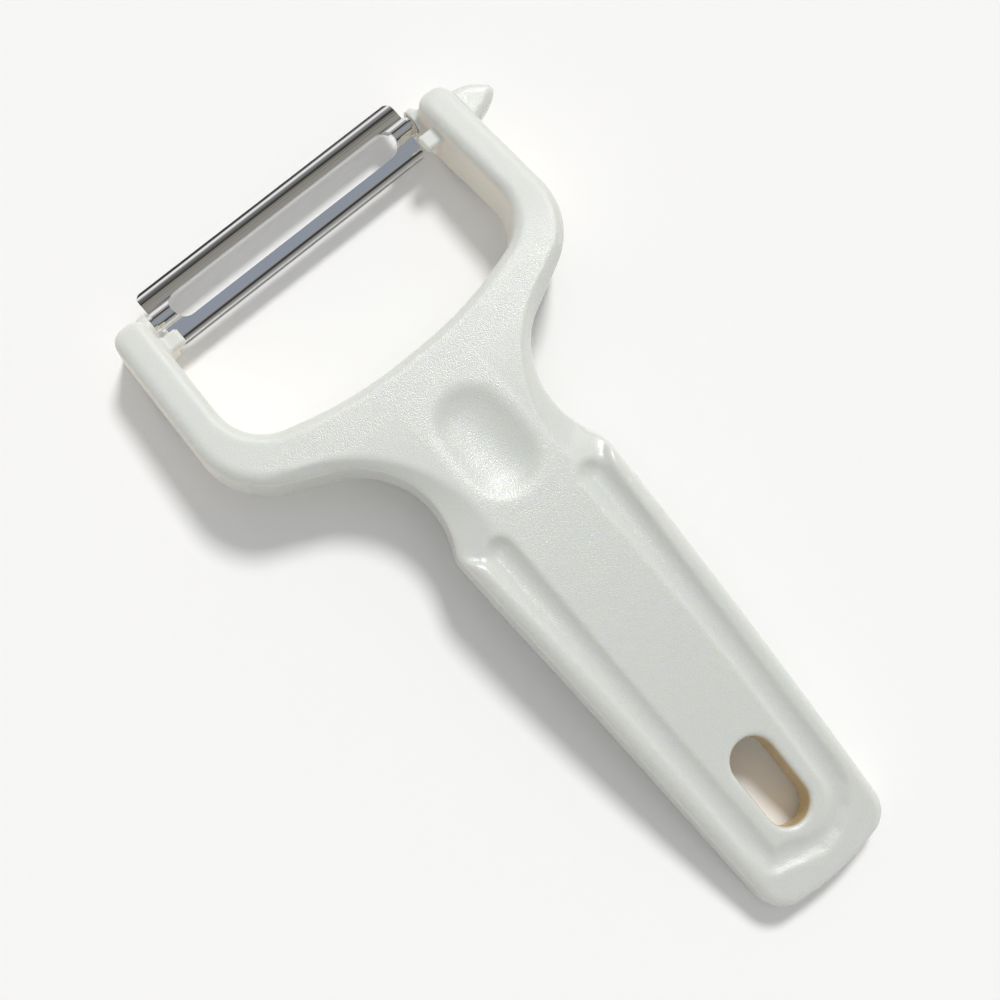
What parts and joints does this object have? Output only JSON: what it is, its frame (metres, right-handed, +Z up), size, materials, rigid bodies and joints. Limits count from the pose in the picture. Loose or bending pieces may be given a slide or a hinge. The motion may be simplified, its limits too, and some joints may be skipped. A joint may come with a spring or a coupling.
{
  "type": "vegetable_peeler",
  "caption": "Y-shaped vegetable peeler: a flat arched plastic handle and fork in one moulding, a slotted steel blade that swivels between the arms and an eye remover on one arm",
  "frame": {"origin": "middle of the flat rest below the handle end, on the plane that the peeler rests on", "axes": "X across the handle towards the arm with the eye remover, Y from the handle end towards the blade, Z up"},
  "size_m": [0.078, 0.146, 0.0156],
  "materials": {
    "plastic": "ivory white, fine grain on the flat areas and satin on the slopes",
    "steel": "bright polished stainless steel strip"
  },
  "bodies": {
    "handle": {"body": "plastic"},
    "blade": {"blade": "steel"}
  },
  "joints": [
    {"name": "blade_swivel", "type": "hinge", "parent": "handle", "child": "blade", "pos_m": [0, 0.1367, 0.0053], "axis": [1, 0, 0], "range_deg": [-47, 138]}
  ]
}
